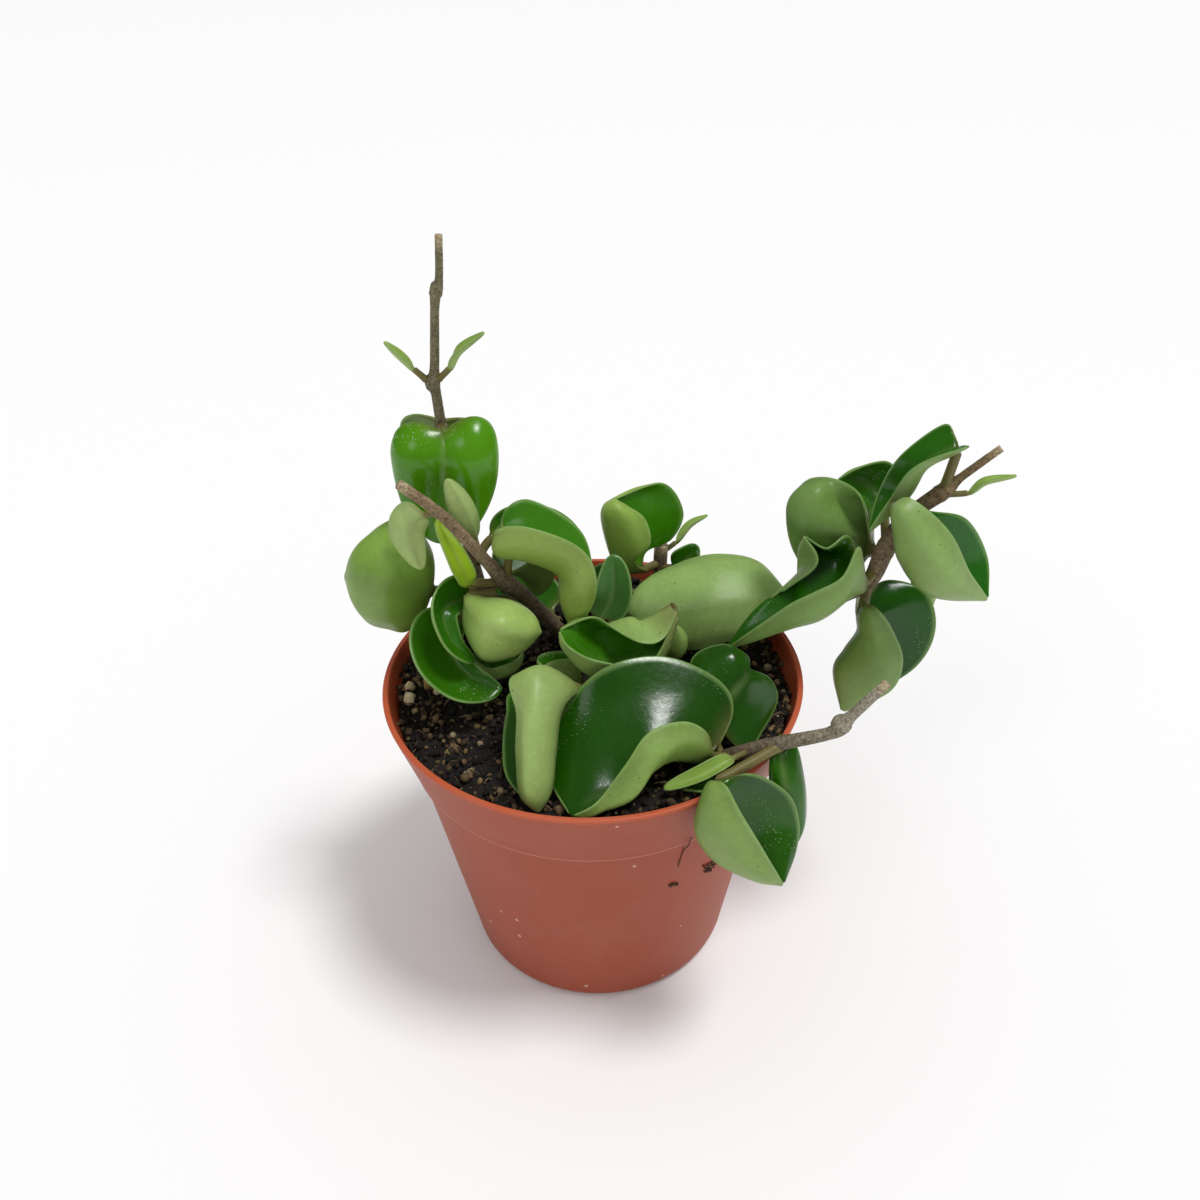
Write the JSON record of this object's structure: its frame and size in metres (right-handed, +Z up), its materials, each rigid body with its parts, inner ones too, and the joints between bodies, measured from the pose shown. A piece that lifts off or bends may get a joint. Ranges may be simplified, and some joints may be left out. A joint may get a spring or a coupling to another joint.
{
  "type": "potted hindu rope plant",
  "caption": "Trailing houseplant with thick, folded and curled glossy leaves on woody stems, rooted in soil in a small tapered plastic nursery pot.",
  "frame": {"origin": "centre of the pot's flat underside, on the surface it stands on", "axes": "+Z up; -Y is the side that faced the viewer in the picture; +X to the viewer's right"},
  "size_m": [0.1778, 0.125, 0.2191],
  "materials": {
    "pot": "satin",
    "soil": "loose and moist",
    "stem": "corky",
    "leaf": "waxy gloss",
    "young_leaf": "waxy satin"
  },
  "bodies": {
    "root": {"pot": "pot", "soil": "soil", "stem_back": "stem", "stem_centre": "stem", "stem_front": "stem", "stem_left": "stem", "stem_right": "stem", "stem_tall": "stem", "leaf_back_lobed": "leaf", "leaf_back_small": "leaf", "leaf_centre_folded": "leaf", "leaf_centre_grey": "leaf", "leaf_centre_oval": "leaf", "leaf_centre_pale": "leaf", "leaf_centre_rolled": "leaf", "leaf_centre_small": "leaf", "leaf_front_back": "leaf", "leaf_front_dark": "leaf", "leaf_front_hanging": "leaf", "leaf_front_large": "leaf", "leaf_front_narrow": "leaf", "leaf_front_small": "leaf", "leaf_left_arch": "leaf", "leaf_left_behind": "leaf", "leaf_left_bowl": "leaf", "leaf_left_channel": "leaf", "leaf_left_cup": "leaf", "leaf_rear_far": "leaf", "leaf_rear_left": "leaf", "leaf_rear_middle": "leaf", "leaf_rear_right": "leaf", "leaf_right_arch": "leaf", "leaf_right_behind": "leaf", "leaf_right_boat": "leaf", "leaf_right_cup": "leaf", "leaf_right_hanging": "leaf", "leaf_right_lower": "leaf", "leaf_right_rear": "leaf", "leaf_right_tip": "leaf", "leaf_tall_back": "leaf", "leaf_tall_dome": "leaf", "leaf_tall_foot": "leaf", "leaf_tall_heart": "leaf", "leaf_tall_inner": "leaf", "leaf_tall_low": "leaf", "leaf_tall_rear": "leaf", "leaf_back_young": "young_leaf", "leaf_front_young": "young_leaf", "leaf_left_young_a": "young_leaf", "leaf_left_young_b": "young_leaf", "leaf_right_young": "young_leaf", "leaf_tall_young_left": "young_leaf", "leaf_tall_young_right": "young_leaf"}
  },
  "joints": []
}
